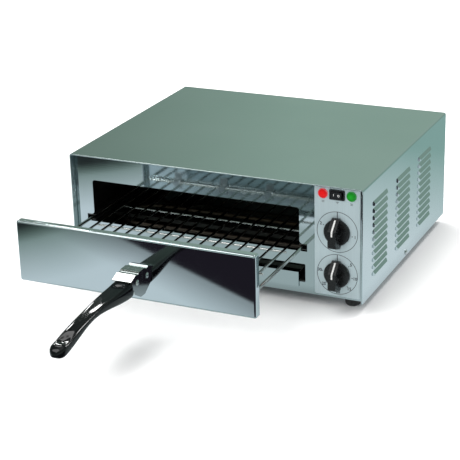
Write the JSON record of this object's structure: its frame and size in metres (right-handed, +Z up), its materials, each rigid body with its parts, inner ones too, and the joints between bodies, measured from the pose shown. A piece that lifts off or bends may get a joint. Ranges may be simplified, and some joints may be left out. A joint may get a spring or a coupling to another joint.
{
  "type": "electric countertop pizza oven",
  "caption": "Box-shaped electric countertop pizza oven with a wire rack that slides out on a front panel with a pan handle, a crumb tray, dials, lamps and side louvres.",
  "frame": {"origin": "middle of the whole outline seen from above, drawer pulled out as in the picture, on the surface that the feet stand on", "axes": "+X to the oven's right as seen from its front, +Y from the handle towards the oven's back, +Z up"},
  "size_m": [0.4754, 0.797, 0.188],
  "materials": {
    "polished_steel": "mirror-polished stainless sheet",
    "folded_steel": "plain galvanised and stainless sheet",
    "liner_steel": "heat-darkened aluminised sheet",
    "strip_face": "satin printed face",
    "element_tube": "dark oxidised tube",
    "moulded_body": "pale moulding",
    "copper": "plain copper",
    "porcelain": "glazed",
    "black_plastic": "glossy black moulding",
    "white_line": "white inlay",
    "red_lens": "faceted clear red",
    "green_lens": "faceted clear green",
    "black_rubber": "matt",
    "bright_wire": "bright plating",
    "screw_steel": "zinc plated"
  },
  "bodies": {
    "oven": {"outer_wrap": "polished_steel", "base_pan": "folded_steel", "rear_panel": "folded_steel", "front_face": "polished_steel", "control_strip": "strip_face", "cavity_liner": "liner_steel", "cavity_back": "liner_steel", "heat_shield": "folded_steel", "rack_runner_left": "folded_steel", "rack_runner_right": "folded_steel", "tray_ledge_left": "folded_steel", "tray_ledge_right": "folded_steel", "upper_element": "element_tube", "lower_element": "element_tube", "upper_element_supports": "folded_steel", "lower_element_supports": "folded_steel", "thermostat": "moulded_body", "thermostat_bulb": "copper", "timer": "moulded_body", "shaft_nuts": "screw_steel", "switch_housing": "black_plastic", "red_lamp_lens": "red_lens", "green_lamp_lens": "green_lens", "lamp_bodies": "moulded_body", "terminal_block": "porcelain", "cord_inlet": "black_rubber", "rear_screws": "screw_steel", "side_screws": "screw_steel", "foot_front_left": "black_rubber", "foot_front_right": "black_rubber", "foot_rear_left": "black_rubber", "foot_rear_right": "black_rubber", "foot_screws": "screw_steel"},
    "rack_drawer": {"drawer_front": "polished_steel", "rack_frame": "bright_wire", "rack_wires": "bright_wire", "rack_clips": "folded_steel", "handle_bracket": "bright_wire", "handle_grip": "black_plastic", "handle_rivet": "bright_wire", "bracket_screws": "screw_steel"},
    "crumb_tray": {"crumb_tray": "folded_steel"},
    "upper_knob": {"upper_knob": "black_plastic", "upper_pointer": "white_line", "thermostat_shaft": "screw_steel"},
    "lower_knob": {"lower_knob": "black_plastic", "lower_pointer": "white_line", "timer_shaft": "screw_steel"},
    "rocker": {"rocker": "black_plastic"}
  },
  "joints": [
    {"name": "rack_slide", "type": "slide", "parent": "oven", "child": "rack_drawer", "axis": [0, -1, 0], "range_m": [-0.1827, 0.08]},
    {"name": "crumb_tray_slide", "type": "slide", "parent": "oven", "child": "crumb_tray", "axis": [0, -1, 0], "range_m": [0, 0.3]},
    {"name": "thermostat_turn", "type": "hinge", "parent": "oven", "child": "upper_knob", "pos_m": [0.1932, 0.0087, 0.117], "axis": [0, 1, 0], "range_deg": [0, 293]},
    {"name": "timer_turn", "type": "hinge", "parent": "oven", "child": "lower_knob", "pos_m": [0.1932, 0.0087, 0.052], "axis": [0, 1, 0], "range_deg": [0, 278]},
    {"name": "rocker_tilt", "type": "hinge", "parent": "oven", "child": "rocker", "pos_m": [0.1932, 0.0102, 0.1733], "axis": [0, 0, 1], "range_deg": [0, 16]}
  ]
}
